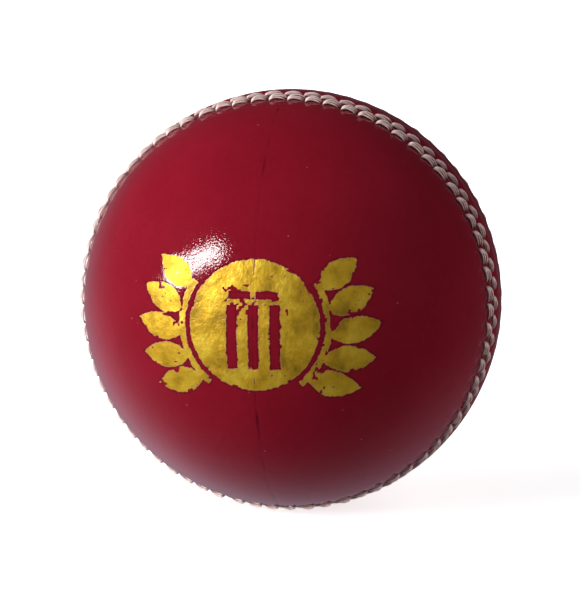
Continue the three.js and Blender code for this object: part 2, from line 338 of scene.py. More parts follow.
ROUNDEL = box_mm("foil_wicket_roundel")[1][0]  # the disc's radius
STAMP_HALF = box_mm("foil_leaf_spray_right")[1][0]  # half the whole stamp's width
STEM = ROUNDEL + 1.35  # radius of the arc that the leaves grow from
STUMPS = (-3.5, 0, 3.5)
STUMP_HALF = 0.85
STUMP_ENDS = (-7, 3.4)
BAIL_STARTS = (-4.0, 0.4)
BAIL_LENGTH = 3.6
BAIL_EDGES = (4.3, 5.5)
LEAF_BEND = 4.4  # control distance of a leaf's curved side from its middle line


def bar_distance(x, z, left, right, low, high):
    """Below 0 inside an upright rectangle."""
    beside = np.abs(x - (left + right) / 2) - (right - left) / 2
    above = np.abs(z - (low + high) / 2) - (high - low) / 2
    return np.maximum(beside, above)


def roundel_distance(x, z):
    """Below 0 inside the disc with its wicket left out."""
    distance = np.hypot(x, z) - ROUNDEL
    for middle in STUMPS:
        stump = bar_distance(x, z, middle - STUMP_HALF, middle + STUMP_HALF, *STUMP_ENDS)
        distance = np.maximum(distance, -stump)
    for left in BAIL_STARTS:
        bail = bar_distance(x, z, left, left + BAIL_LENGTH, *BAIL_EDGES)
        distance = np.maximum(distance, -bail)
    return distance


def leaf_distance(x, z, base_angle, lean, length):
    """Below 0 inside a pointed leaf that starts on the stem at base_angle and points along lean."""
    along_x, along_z = math.cos(lean), math.sin(lean)
    dx = x - STEM * math.cos(base_angle)
    dz = z - STEM * math.sin(base_angle)
    along = dx * along_x + dz * along_z
    across = np.abs(dz * along_x - dx * along_z)
    part = np.clip(along / length, 0, 1)
    t = (-0.9 + np.sqrt(0.81 + 0.4 * part)) / 0.2
    distance = (across - 2 * t * (1 - t) * LEAF_BEND) * 0.85
    return np.maximum(distance, np.maximum(-along, along - length))


def spray_distance(x, z):
    """Below 0 inside the right leaf spray."""
    angle = np.degrees(np.arctan2(z, x))
    distance = np.maximum(np.abs(np.hypot(x, z) - STEM) - 0.55, (np.abs(angle + 8) - 44) * 0.2)
    for place in (-2, -1, 0, 1, 2):
        length = STAMP_HALF - STEM + 0.3 - 0.6 * max(0, place)
        leaf = leaf_distance(x, z, math.radians(place * 19 - 8), math.radians(place * 13 + 14), length)
        distance = np.minimum(distance, leaf)
    return distance


STAMPS = {
    "foil_wicket_roundel": roundel_distance,
    "foil_leaf_spray_left": lambda x, z: spray_distance(-x, z),
    "foil_leaf_spray_right": spray_distance,
}


def stamp_distance(x, z):
    return np.min([distance(x, z) for distance in STAMPS.values()], axis=0)


# ---- the leather -----------------------------------------------------

STITCHED_BAND = 15  # how far from the joint the stitches can mark the leather


def leather_height(place, offset, phi, flat_x, flat_z, points):
    """Height of the leather above the bare ball, and how dark each point is painted, 0 to 1: the joint and
    the quarter seam's stains, with painted shade under the stitches and a painted shadow along the stamp's
    outline.
    """
    # The lip, the valleys that the rows pull in, and the rounded edge at the joint.
    height = LIP_HEIGHT * (1 - smooth_step(MIDDLE_ROW - 2.4, MIDDLE_ROW - 0.6, offset))
    valley = 0.18 + 0.8 * DRAWN_IN[place]
    height -= valley * (bump(offset - MIDDLE_ROW, 1.3) + bump(offset - OUTER_ROW + 0.4, 1.2))
    height -= 0.06 * bump(offset - OUTER_ROW - 2.2, 1.2)
    height -= (LIP_HEIGHT + 0.25) * bump(offset, 0.24)
    crevice = bump(offset, 0.3)
    # The dent under each stitch, the holes at its ends, and the puckers beside the rows.
    band = offset < STITCHED_BAND
    for name, row in ROWS[place].items():
        stitch, head, tail = stitch_distance(row, offset[band], phi[band])
        height[band] -= 0.05 * (1 - smooth_step(0.25, 0.6, stitch))
        height[band] -= 0.14 * bump(head, 0.22) + 0.2 * bump(tail, 0.28)
        # Painted shade: the leather under each stitch is darkened.
        crevice[band] = np.maximum(crevice[band], 1 - smooth_step(0.05, 0.42, stitch))
        scallop = np.cos((row["phi"][0] - phi[band]) / PITCH * 2 * math.pi + 2.2)
        if name == "middle":
            height[band] += 0.05 * scallop * bump(offset[band] - MIDDLE_ROW + 2.1, 0.8)
        else:
            height[band] += 0.045 * scallop * bump(offset[band] - OUTER_ROW - 1.9, 0.9)
    # The quarter seam, the hide's own unevenness, and the pressed stamp.
    seam = np.abs(flat_x)
    strength = 0.75 + 0.35 * noise(points, 3.0, 5)
    height -= strength * (0.012 * bump(seam, 0.1) + 0.012 * bump(seam, 0.5))
    smudge = smooth_step(-0.1, 0.7, noise(points, 2.2, 9))
    stain = (0.2 + 0.5 * smudge) * bump(seam, 0.22) + 0.14 * smudge * bump(seam, 0.7)
    crevice = np.maximum(crevice, stain * strength)
    height += 0.035 * noise(points, 13.0, 6) + 0.012 * noise(points, 4.0, 7) + 0.004 * noise(points, 1.1, 8)
    if place == "front":
        stamp = stamp_distance(flat_x, flat_z)
        height -= 0.014 * (1 - smooth_step(-0.1, 0.25, stamp))
        # Painted shadow: a thin dark line just outside the stamp's outline.
        crevice = np.maximum(crevice, 0.45 * bump(stamp - 0.14, 0.16))
    return height, np.clip(crevice, 0, 1)


SEAM_STEPS = [0, 0.05, 0.1, 0.17, 0.27, 0.42, 0.62, 0.86]  # from the quarter seam
JOINT_STEPS = [0, 0.07, 0.14, 0.22, 0.32, 0.45, 0.62, 0.82]  # from the joint between the cups
SPINE_STEP = 0.35  # along the quarter seam
BAND_END = 13.2  # how far from the joint the fine rows of the stitched band reach
BAND_STEP = 0.21
PLAIN_STEP = 0.75
STAMP_STEP = 0.18
STAMP_REACH = (22.5, 12.4)  # half the width and half the height of the fine part under the stamp
TRIANGLE = math.sqrt(0.75)  # height of a triangle whose sides are 1


def quarter_layout(place):
    """Where the vertices of a right-hand quarter go: offset and phi of each, closest where detail is."""
    offsets = np.concatenate([JOINT_STEPS, np.arange(JOINT_STEPS[-1] + BAND_STEP, BAND_END, BAND_STEP)])
    rows = []
    for number, offset in enumerate(offsets):
        ring = BALL * math.cos(offset / BALL)
        end = math.pi / 2 - (SEAM_STEPS[-1] + BAND_STEP) / ring
        count = round(end * 2 * ring / BAND_STEP)
        shift = 0.5 * (number % 2) * 2 * end / count
        phi = np.linspace(-end, end, count + 1)[: count + 1 - number % 2] + shift
        edge = math.pi / 2 - np.array(SEAM_STEPS) / ring
        phi = np.concatenate([phi, edge, -edge])
        rows.append(np.stack([np.full(len(phi), offset), phi], axis=1))
    # Lines beside the quarter seam, from the band over the pole.
    spine = np.arange(BAND_END, 2 * CUP_LENGTH - BAND_END, SPINE_STEP)
    for step in SEAM_STEPS:
        x = np.full(len(spine), step)
        y = -np.sqrt(BALL**2 - step**2) * np.sin(spine / BALL)
        z = np.sqrt(BALL**2 - step**2) * np.cos(spine / BALL)
        rows.append(offset_and_phi(x, y, z))
    # The plain leather, and the finer part under the stamp.
    plain, stamped = open_leather(PLAIN_STEP)
    rows.append(plain[~stamped] if place == "front" else plain)
    if place == "front":
        fine, stamped = open_leather(STAMP_STEP)
        rows.append(fine[stamped])
    return np.concatenate(rows)


def open_leather(step):
    """A grid of triangles inside the band and beside the quarter seam, and which are under the stamp."""
    reach = np.arange(-CUP_LENGTH, CUP_LENGTH, step)
    u, w = (g.ravel() for g in np.meshgrid(reach, reach * TRIANGLE))
    u = u + step / 2 * (np.round(w / (step * TRIANGLE)) % 2)
    arc = np.hypot(u, w)
    phi = np.arctan2(w, u)
    from_seam = BALL * np.sin(arc / BALL) * np.cos(phi)
    inside = (arc < CUP_LENGTH - BAND_END) & (from_seam > SEAM_STEPS[-1] + 0.15)
    stamped = (u < STAMP_REACH[0]) & (np.abs(w) < STAMP_REACH[1])
    return np.stack([CUP_LENGTH - arc, phi], axis=1)[inside], stamped[inside]


def offset_and_phi(x, y, z):
    return np.stack([BALL * np.arcsin(np.clip(-y / BALL, -1, 1)), np.arctan2(z, x)], axis=1)


def cup_map(offset, phi):
    """Points of the front cup laid out flat round its pole, with the quarter seam exactly on u = 0."""
    arc = CUP_LENGTH - offset
    u = arc * np.cos(phi)
    u[np.abs(u) < 1e-9] = 0
    return np.stack([u, arc * np.sin(phi)], axis=1)


# Down the thickness of the leather: radius, and depth of the hollow that leaves room for hidden thread.
JOINT_WALL = [(34.95, 0.0), (34.95, 1.4), (33.25, 1.4), (33.25, 0.0), (LEATHER_INNER, 0.0)]
QUARTER_WALL = [(34.3, 0.0), (34.1, 0.6), (33.1, 0.6), (32.9, 0.0), (LEATHER_INNER, 0.0)]
QUARTER_HOLLOW_START = 13  # how far from the joint the hollow in the quarter seam starts
SEAM_CLEARANCE = 0.004
INNER_STEP = 2.5  # between vertices on the inside of the leather
BACK_NOISE_SHIFT = 200  # so that the back cup's leather isn't a copy of the front's


def outer_skin(place, side):
    """The outside of a quarter: each vertex's offset, place on the flat map, direction from the ball's
    centre, height and crevice, and the triangles."""
    offset, phi = quarter_layout(place).T
    flat = cup_map(offset, phi)
    _, keep = np.unique(np.round(flat, 4), axis=0, return_index=True)
    offset, phi, flat = offset[keep], phi[keep], flat[keep]
    bare = on_cup(offset, phi, 0.0)
    bare[:, 0] = side * np.where(flat[:, 0] == 0, 0, bare[:, 0])
    side_phi = phi if side > 0 else math.pi - phi
    shift = BACK_NOISE_SHIFT if place == "back" else 0
    height, crevice = leather_height(place, offset, side_phi, bare[:, 0], bare[:, 2], bare + shift)
    return offset, flat, bare / BALL, height, crevice, triangulate(flat)


def rim_loop(triangles):
    """The corners round the rim of a mesh, in order."""
    rim = rim_edges(triangles)
    following = dict(rim.tolist())
    loop = [rim[0, 0]]
    while following[loop[-1]] != loop[0]:
        loop.append(following[loop[-1]])
    return np.array(loop)


def wall_rings(side, direction, on_seam, hollow):
    """Rings of points down the thickness of the leather, from under its outside to its inside."""
    rings = []
    for joint, quarter in zip(JOINT_WALL, QUARTER_WALL):
        ring = direction * np.where(on_seam, quarter[0], joint[0])[:, None]
        ring[:, 0] += side * quarter[1] * hollow
        ring[:, 1] -= joint[1] * ~on_seam
        rings.append(ring)
    return rings


def inner_skin(side, rim_flat):
    """The inside of a quarter: its points, and triangles whose numbers count the rim first."""
    reach = np.arange(-CUP_LENGTH, CUP_LENGTH, INNER_STEP)
    u, w = (g.ravel() for g in np.meshgrid(reach, reach))
    inside = (np.hypot(u, w) < CUP_LENGTH - 1) & (u > 1)
    u, w = u[inside], w[inside]
    points = on_cup(CUP_LENGTH - np.hypot(u, w), np.arctan2(w, u), LEATHER_INNER - BALL)
    points[:, 0] *= side
    triangles = triangulate(np.concatenate([rim_flat, np.stack([u, w], axis=1)]))
    return points, triangles[:, ::-1]


def quarter_solid(place, side):
    """Points, faces and crevice numbers of one quarter. side is 1 for the front cup's +X quarter."""
    offset, flat, direction, height, crevice, triangles = outer_skin(place, side)
    outer = direction * (BALL + height)[:, None]
    loop = rim_loop(triangles)
    on_seam = flat[loop, 0] == 0
    hollow = on_seam & (offset[loop] > QUARTER_HOLLOW_START)
    rings = wall_rings(side, direction[loop], on_seam, hollow)
    inner, inner_triangles = inner_skin(side, flat[loop])
    points = np.concatenate([outer, *rings, inner])

    below = len(outer) + np.arange(len(rings) * len(loop)).reshape(len(rings), len(loop))
    number = np.concatenate([loop[None], below])
    after = np.roll(number, -1, axis=1)
    walls = np.stack([after[:-1], number[:-1], number[1:], after[1:]], axis=-1).reshape(-1, 4)
    inner_number = np.concatenate([number[-1], np.arange(len(points) - len(inner), len(points))])
    faces = [np.concatenate([triangles, inner_number[inner_triangles]]), walls]
    if side < 0:
        faces = [f[:, ::-1] for f in faces]
    points[:, 0] += side * SEAM_CLEARANCE
    points[:, 1] -= SEAM_CLEARANCE
    if place == "back":
        points = turned_over(points)
    return points, faces, np.concatenate([crevice, np.ones(len(points) - len(outer))])


def add_quarter(place, name, side, material):
    points, faces, crevice = quarter_solid(place, side)
    node = f"leather_quarter_{place}_{name}"
    add_piece(f"{node}_hide", points, faces, material, [node], {"crevice": crevice}, 55)


# ---- the foil --------------------------------------------------------

FOIL_STEP = 0.16
FOIL_FILM = 0.03  # thickness
FOIL_LIFT = 0.012  # above the leather
FOIL_NUDGE = 0.02  # over which the outline's slope is measured
SMALLEST_FLAKE = 12  # triangles


def foil_edge(distance, x, z):
    """The stamp's distance with a ragged edge, worn corners and missing flecks."""
    points = np.stack([x, np.zeros_like(x), z], axis=1)
    ragged = distance + 0.10 * noise(points, 0.55, 21) + 0.07 * noise(points, 0.27, 22)
    worn = 0.45 * smooth_step(0.55, 0.9, noise(points, 1.1, 23)) * smooth_step(-0.9, -0.1, distance)
    patch = smooth_step(0.25, 0.6, noise(points, 2.6, 29)) * smooth_step(-2.0, -0.4, distance)
    flecks = (noise(points, 0.5, 24) - 0.95 + 0.52 * patch) * 1.6
    crack = 0.1 - np.abs(x) * 2 - 0.6 * (1 - smooth_step(0.4, 0.5, noise(points, 1.5, 26)))
    return np.maximum(np.maximum(ragged + worn, flecks), crack)


def foil_surface(x, z):
    """Points on the leather under x and z, and the ball's outward direction there."""
    y = -np.sqrt(BALL**2 - x**2 - z**2)
    bare = np.stack([x, y, z], axis=1)
    offset, phi = offset_and_phi(x, y, z).T
    height, _ = leather_height("front", offset, phi, x, z, bare)
    return bare / BALL, height


def foil_patch(edge_at):
    """x, z and triangles that fill the inside of an outline, whose rim is drawn onto the outline."""
    half_width = STAMP_HALF + 0.6
    half_height = ROUNDEL + 1.6
    columns = np.arange(-half_width, half_width, FOIL_STEP)
    lines = np.arange(-half_height, half_height, FOIL_STEP)
    x, z = (g.ravel() for g in np.meshgrid(columns, lines))
    edge = edge_at(x, z)
    slope_x = (edge_at(x + FOIL_NUDGE, z) - edge_at(x - FOIL_NUDGE, z)) / (2 * FOIL_NUDGE)
    slope_z = (edge_at(x, z + FOIL_NUDGE) - edge_at(x, z - FOIL_NUDGE)) / (2 * FOIL_NUDGE)
    steep = np.maximum(slope_x**2 + slope_z**2, 0.05)
    near = np.abs(edge) < 0.5 * FOIL_STEP * np.sqrt(steep)
    x = np.where(near, x - edge * slope_x / steep, x)
    z = np.where(near, z - edge * slope_z / steep, z)
    inside = (edge < 0) | near
    number = np.arange(len(x)).reshape(len(lines), len(columns))
    a, b, c, d = number[:-1, :-1], number[:-1, 1:], number[1:, 1:], number[1:, :-1]
    cells = np.concatenate([np.stack([a, b, c], -1).reshape(-1, 3), np.stack([a, c, d], -1).reshape(-1, 3)])
    kept = cells[inside[cells].all(axis=1)]
    kept = kept[edge_at(x[kept].mean(axis=1), z[kept].mean(axis=1)) < 0.02]
    kept = without_pinches(largest_patches(kept, len(x), SMALLEST_FLAKE), len(x))
    used, triangles = np.unique(kept, return_inverse=True)
    return x[used], z[used], triangles.reshape(kept.shape)


def add_foil(name, distance, material):
    def edge_at(x, z):
        return foil_edge(distance(x, z), x, z)

    x, z, top = foil_patch(edge_at)
    direction, height = foil_surface(x, z)
    flat = np.stack([x, np.zeros_like(x), z], axis=1)
    crinkle = 0.005 * noise(flat, 0.8, 27) + 0.003 * noise(flat, 0.35, 28)
    lower = direction * (BALL + height + FOIL_LIFT)[:, None]
    upper = direction * (BALL + height + FOIL_LIFT + FOIL_FILM + crinkle)[:, None]
    rim = rim_edges(top)
    walls = np.stack([rim[:, 1], rim[:, 0], rim[:, 0] + len(x), rim[:, 1] + len(x)], axis=1)
    faces = [np.concatenate([top, top[:, ::-1] + len(x)]), walls]
    points = np.concatenate([upper, lower])
    rimward = np.tile(edge_at(x, z), 2)
    add_piece(f"{name}_film", points, faces, material, [name], {"rimward": rimward}, 40)


def largest_patches(triangles, count, smallest):
    """Drops patches of fewer than `smallest` triangles that share no vertex with the rest."""
    label = np.arange(count)
    while True:
        lowest = label[triangles].min(axis=1)
        before = label.copy()
        for i in range(3):
            np.minimum.at(label, triangles[:, i], lowest)
        label = label[label]
        if (label == before).all():
            break
    group = label[triangles[:, 0]]
    _, index, sizes = np.unique(group, return_inverse=True, return_counts=True)
    return triangles[sizes[index] >= smallest]


def without_pinches(triangles, count):
    """Drops the triangles at vertices where two parts of the rim touch."""
    while True:
        leaving = np.bincount(rim_edges(triangles)[:, 0], minlength=count)
        pinched = (leaving[triangles] > 1).any(axis=1)
        if not pinched.any():
            return triangles
        triangles = triangles[~pinched]


# ---- the hidden pieces -----------------------------------------------

YARN_TUCK = 1.6  # radius of the opening at the back of each winding, where its yarn is tucked in
CUP_GAP = 0.15  # from the joint to the rim of each cork half
NUCLEUS_STEP = 0.35  # between vertices
SHEET_STEP = 0.5


def turned(radii, angles, sectors):
    """A closed surface turned round the Y axis, from rings at angles from the -Y pole.

    The first and last rings are points on the axis. Returns directions, radii and faces."""
    phi = np.tile(np.arange(sectors) / sectors * 2 * math.pi, len(angles) - 2)
    phi = np.concatenate([[0], phi, [0]])
    angle = np.concatenate([angles[:1], np.repeat(angles[1:-1], sectors), angles[-1:]])
    radius = np.concatenate([radii[:1], np.repeat(radii[1:-1], sectors), radii[-1:]])
    direction = np.stack([np.sin(angle) * np.cos(phi), -np.cos(angle), np.sin(angle) * np.sin(phi)], axis=1)
    number = 1 + np.arange(len(phi) - 2).reshape(-1, sectors)
    after = np.roll(number, -1, axis=1)
    quads = np.stack([number[:-1], number[1:], after[1:], after[:-1]], axis=-1).reshape(-1, 4)
    first = np.stack([np.zeros_like(number[0]), number[0], after[0]], axis=1)
    last = np.stack([np.full_like(number[0], len(phi) - 1), after[-1], number[-1]], axis=1)
    return direction, radius, [quads, np.concatenate([first, last])]


def shell_rings(outer, inner, outer_end, inner_end, step):
    """Rings over the outside of a shell to its rim, and back inside it."""
    outer_angles = np.linspace(0, outer_end, math.ceil(outer * outer_end / step))
    inner_angles = np.linspace(inner_end, 0, math.ceil(inner * inner_end / (4 * step)))
    radii = np.repeat([outer, inner], [len(outer_angles), len(inner_angles)])
    return radii, np.concatenate([outer_angles, inner_angles])


def wound(points, width, seed):
    """Relief of yarn wound in great circles that cross at all angles. Its highest parts are at 0."""
    rng = np.random.default_rng(seed)
    radius = np.linalg.norm(points[0])
    height = np.full(len(points), -0.35 * width)
    turns = round(13 * radius / width)
    for level in np.linspace(-0.35, 0, turns):
        axes = np.linalg.qr(rng.normal(size=(3, 3)))[0]
        across = radius * np.arcsin(np.clip(points @ axes[0] / radius, -1, 1))
        along = radius * np.arctan2(points @ axes[1], points @ axes[2])
        ridge = 0.05 * np.cos((along / 2.0 + across / 1.6) * 2 * math.pi)
        top = np.sqrt(np.maximum(width**2 / 4 - across**2, 0)) + ridge + level * width
        height = np.where(np.abs(across) < width / 2, np.maximum(height, top), height)
    return height - width / 2 - 0.05


def granular(points, size, depth, seed):
    """Relief of pressed grains with cracks between them, below 0."""
    cracks = bump(noise(points, size, seed), 0.16)
    grain = 0.5 + 0.5 * noise(points, size / 2.5, seed + 1)
    return -depth * (0.65 * cracks + 0.35 * grain)


def add_hidden(node, ending, rings, step, relief, slot, turn=False):
    """One turned piece of the core, with relief on its outside."""
    radii, angles = rings
    direction, radius, faces = turned(radii, angles, round(2 * math.pi * radii[0] / step))
    outside = radius == radii[0]
    radius[outside] += relief(direction[outside] * radii[0])
    points = direction * radius[:, None]
    points = turned_over(points) if turn else points
    add_piece(f"{node}_{ending}", points, faces, INNER_MATERIALS[slot], [node], sharp_angle=60)


def add_cord(node, centres, radius, turn):
    """A twisted three-strand thread along an (n, 3) line, which curves round the ball's centre."""
    along = np.cumsum(np.linalg.norm(np.diff(centres, axis=0, prepend=centres[:1]), axis=1))
    ups = centres / np.linalg.norm(centres, axis=1, keepdims=True)
    radii = np.full((1, len(centres)), radius)
    points, faces = sweep(centres[None], ups[None], radii, 18, along[None] * math.pi / 1.3, 3, 0.1)
    points = turned_over(points) if turn else points
    material = INNER_MATERIALS["hidden_thread"]
    add_piece(f"{node}_cord", points, faces, material, [node], sharp_angle=80)


def add_winding(layer, inner, width):
    """A shell of wound yarn, open where its end is tucked in. Returns its outer radius."""
    node = f"yarn_winding_{layer}"
    outer = box_mm(node)[1][2]
    ends = [math.pi - math.asin(YARN_TUCK / radius) for radius in (outer, inner)]
    step = outer / 62
    add_hidden(node, "strands", shell_rings(outer, inner, *ends, step), step,
               lambda p: wound(p, width, 70 + round(outer)), "wool_yarn")
    return outer


def add_cork(layer, inner):
    """The two halves of a cork layer. Returns its outer radius."""
    outer = box_mm(f"cork_wrap_{layer}_front")[1][0]
    ends = [math.acos(CUP_GAP / radius) for radius in (outer, inner)]
    rings = shell_rings(outer, inner, *ends, SHEET_STEP)
    for place in ("front", "back"):
        add_hidden(f"cork_wrap_{layer}_{place}", "sheet", rings, SHEET_STEP,
                   lambda p: granular(p, 2.2, 0.3, 81), "cut_cork", place == "back")
    return outer


def add_core():
    """The nucleus, and the layers on it from the inside out."""
    nucleus = box_mm("core_nucleus")[1][0]
    angles = np.linspace(0, math.pi, math.ceil(nucleus * math.pi / NUCLEUS_STEP))
    add_hidden("core_nucleus", "moulding", (np.full(len(angles), nucleus), angles), NUCLEUS_STEP,
               lambda p: granular(p, 1.6, 0.35, 61), "cork_rubber")
    inner_yarn = add_winding("inner", nucleus + LAYER_GAP, 1.3)
    inner_cork = add_cork("inner", inner_yarn + LAYER_GAP)
    middle_yarn = add_winding("middle", inner_cork + LAYER_GAP, 1.5)
    outer_cork = add_cork("outer", middle_yarn + LAYER_GAP)
    add_winding("outer", outer_cork + LAYER_GAP, 1.8)


def add_lining(place):
    inner = box_mm("yarn_winding_outer")[1][2] + LAYER_GAP
    rim = math.acos(-box_mm("cup_lining_front")[1][1] / inner)
    rings = shell_rings(LINING_OUTER, inner, rim, rim, SHEET_STEP)
    add_hidden(f"cup_lining_{place}", "hide", rings, SHEET_STEP,
               lambda p: granular(p, 0.9, 0.07, 91), "lining_leather", place == "back")


def add_closing_thread(place):
    """The thread that holds the cups together, wavy as it goes from stitch to stitch."""
    low, high = box_mm("closing_stitches_front")
    phi = np.linspace(0.01, 2 * math.pi - 0.01, 2100)
    radius = high[0] - 0.62 + 0.17 * np.cos(phi * STITCHES)
    y = (low[1] + high[1]) / 2 - 0.1 + 0.17 * np.sin(phi * STITCHES)
    line = np.stack([radius * np.cos(phi), y, radius * np.sin(phi)], axis=1)
    add_cord(f"closing_stitches_{place}", line, 0.4, place == "back")


def add_quarter_thread(place):
    """The thread that joins a cup's two quarters."""
    low, high = box_mm("quarter_seam_thread_front")
    end = math.atan2(high[2], -high[1])
    angle = np.linspace(-end, end, 420)
    line = np.stack([np.zeros_like(angle), -np.cos(angle), np.sin(angle)], axis=1) * (-low[1] - 0.4)
    add_cord(f"quarter_seam_thread_{place}", line, 0.36, place == "back")


# ---- materials -------------------------------------------------------

def new_material(name, base, roughness, **sockets):
    material = bpy.data.materials.new(name)
    material.use_nodes = True
    shader = material.node_tree.nodes["Principled BSDF"]
    shader.inputs["Base Color"].default_value = (*base, 1)
    shader.inputs["Roughness"].default_value = roughness
    for key, value in sockets.items():
        shader.inputs[key.replace("_", " ")].default_value = value
    return material, material.node_tree, shader


def add_node(tree, kind, **inputs):
    """A node with its inputs set or linked. i0, i1 and so on are inputs by number, others by name."""
    node = tree.nodes.new(kind)
    for key, value in inputs.items():
        numbered = key[0] == "i" and key[1:].isdigit()
        socket = node.inputs[int(key[1:]) if numbered else key.replace("_", " ")]
        if isinstance(value, bpy.types.NodeSocket):
            tree.links.new(value, socket)
        else:
            socket.default_value = value
    return node


def ball_place(tree):
    """The place on the ball, in millimetres."""
    place = add_node(tree, "ShaderNodeTexCoord").outputs["Object"]
    scaled = add_node(tree, "ShaderNodeVectorMath", i0=place, i1=(1 / MM,) * 3)
    scaled.operation = "MULTIPLY"
    return scaled.outputs[0]


def noise_at(tree, place, scale, detail=3.0, roughness=0.55):
    """A noise texture of about 1 / scale millimetres."""
    node = add_node(tree, "ShaderNodeTexNoise", Vector=place, Scale=scale, Detail=detail,
                    Roughness=roughness)
    return node.outputs["Fac"]


def ramp(tree, value, stops):
    """Colours or greys at places between 0 and 1."""
    node = add_node(tree, "ShaderNodeValToRGB", Fac=value)
    elements = node.color_ramp.elements
    while len(elements) < len(stops):
        elements.new(0.5)
    for element, (position, colour) in zip(elements, stops):
        element.position = position
        element.color = (*colour, 1) if isinstance(colour, tuple) else (colour, colour, colour, 1)
    return node.outputs["Color"]


def blend_colours(tree, amount, first, second):
    node = tree.nodes.new("ShaderNodeMix")
    node.data_type = "RGBA"
    for socket, value in ((node.inputs[0], amount), (node.inputs[6], first), (node.inputs[7], second)):
        if isinstance(value, bpy.types.NodeSocket):
            tree.links.new(value, socket)
        else:
            socket.default_value = (*value, 1) if isinstance(value, tuple) else value
    return node.outputs[2]


def arithmetic(tree, operation, first, second):
    node = add_node(tree, "ShaderNodeMath", i0=first, i1=second)
    node.operation = operation
    return node.outputs[0]


def kept_number(tree, name):
    """The number of that name which add_piece kept at each vertex."""
    node = tree.nodes.new("ShaderNodeAttribute")
    node.attribute_name = name
    return node.outputs["Fac"]


def connect_bumps(tree, shader, layers):
    """Bumps one over the other. layers holds (height, distance in millimetres, strength)."""
    normal = None
    for height, distance, strength in layers:
        node = add_node(tree, "ShaderNodeBump", Height=height, Distance=distance * MM, Strength=strength)
        if normal is not None:
            tree.links.new(normal, node.inputs["Normal"])
        normal = node.outputs[0]
    tree.links.new(normal, shader.inputs["Normal"])


def crimson_leather():
    material, tree, shader = new_material("crimson_leather", (0.2, 0.0055, 0.0155), 0.08)
    place = ball_place(tree)
    cloud = ramp(tree, noise_at(tree, place, 0.09, 4), [
        (0.3, (0.19, 0.005, 0.0137)), (0.7, (0.216, 0.0063, 0.0172))])
    patches = ramp(tree, noise_at(tree, place, 0.9, 4), [(0.45, 0.0), (0.75, 0.25)])
    mottled = blend_colours(tree, patches, cloud, (0.15, 0.003, 0.009))
    cells = add_node(tree, "ShaderNodeTexVoronoi", Vector=place, Scale=0.42, Randomness=1.0)
    dots = ramp(tree, cells.outputs["Distance"], [(0.04, 1.0), (0.07, 0.0)])
    sparse = ramp(tree, noise_at(tree, place, 0.3, 1), [(0.56, 0.0), (0.62, 0.45)])
    specked = blend_colours(tree, arithmetic(tree, "MULTIPLY", dots, sparse), mottled, (0.5, 0.2, 0.2))
    # Darkened by the crevice number: the dark joint and the quarter seam's stains, painted shade under the
    # stitches, a painted shadow along the stamp's outline, and darkest on the leather's walls and inside.
    stain_and_painted_shade = ramp(tree, kept_number(tree, "crevice"), [(0.1, 0.0), (0.95, 0.92)])
    stained_and_shaded = blend_colours(tree, stain_and_painted_shade, specked, (0.025, 0.002, 0.004))
    tree.links.new(stained_and_shaded, shader.inputs["Base Color"])
    polish = ramp(tree, noise_at(tree, place, 1.4, 5), [(0.35, 0.05), (0.7, 0.09)])
    tree.links.new(polish, shader.inputs["Roughness"])
    connect_bumps(tree, shader, [
        (noise_at(tree, place, 0.5, 1), 0.04, 0.4),
        (noise_at(tree, place, 3.2, 1, 0.5), 0.024, 1.0),
    ])
    return material


def seam_thread():
    material, tree, shader = new_material("seam_thread", (0.72, 0.6, 0.56), 0.6, Sheen_Weight=0.15,
                                          Sheen_Roughness=0.4, Specular_IOR_Level=0.4)
    place = ball_place(tree)
    clean = ramp(tree, noise_at(tree, place, 1.2, 4), [
        (0.3, (0.73, 0.52, 0.48)), (0.7, (0.93, 0.735, 0.695))])
    # Painted shade: the lower parts of each ply, near the leather, are darkened to a deep red.
    proud = add_node(tree, "ShaderNodeMath", i0=kept_number(tree, "height"), i1=0.6, i2=0.5)
    proud.operation = "MULTIPLY_ADD"
    painted_low_shade = ramp(tree, proud.outputs[0], [(0.42, 1.0), (0.7, 0.0)])
    low_shaded = blend_colours(tree, painted_low_shade, clean, (0.12, 0.02, 0.025))
    tree.links.new(low_shaded, shader.inputs["Base Color"])
    connect_bumps(tree, shader, [
        (noise_at(tree, place, 3.0, 5), 0.04, 0.6),
        (noise_at(tree, place, 9.0, 3), 0.02, 0.5),
    ])
    return material


def gold_foil():
    material, tree, shader = new_material("gold_foil", (0.85, 0.6, 0.06), 0.5, Metallic=0.6)
    place = ball_place(tree)
    tone = ramp(tree, noise_at(tree, place, 0.22, 5, 0.6), [
        (0.32, (0.38, 0.22, 0.014)), (0.5, (0.72, 0.43, 0.022)), (0.68, (0.88, 0.61, 0.05))])
    rub = ramp(tree, noise_at(tree, place, 2.2, 5), [(0.6, 0.0), (0.75, 0.5)])
    streaked = blend_colours(tree, rub, tone, (0.3, 0.17, 0.01))
    rimward = arithmetic(tree, "ADD", kept_number(tree, "rimward"), 1.0)
    rim = ramp(tree, rimward, [(0.84, 0.0), (0.95, 0.85)])
    worn = blend_colours(tree, rim, streaked, (0.62, 0.33, 0.16))
    tree.links.new(worn, shader.inputs["Base Color"])
    polish = ramp(tree, noise_at(tree, place, 1.2, 5), [(0.3, 0.4), (0.7, 0.58)])
    tree.links.new(polish, shader.inputs["Roughness"])
    connect_bumps(tree, shader, [
        (noise_at(tree, place, 0.35, 2), 0.45, 0.6),
        (noise_at(tree, place, 3.0, 1, 0.5), 0.05, 1.0),
    ])
    return material


def inner_material(name, base, dark, scale, roughness):
    """Matt materials of the hidden pieces: two colours in blotches, with a relief to match."""
    material, tree, shader = new_material(name, base, roughness, Specular_IOR_Level=0.25)
    place = ball_place(tree)
    pattern = noise_at(tree, place, scale, 6, 0.65)
    tree.links.new(ramp(tree, pattern, [(0.38, dark), (0.62, base)]), shader.inputs["Base Color"])
    connect_bumps(tree, shader, [(pattern, 0.3, 0.6)])
    return material


# ---- pieces ----------------------------------------------------------

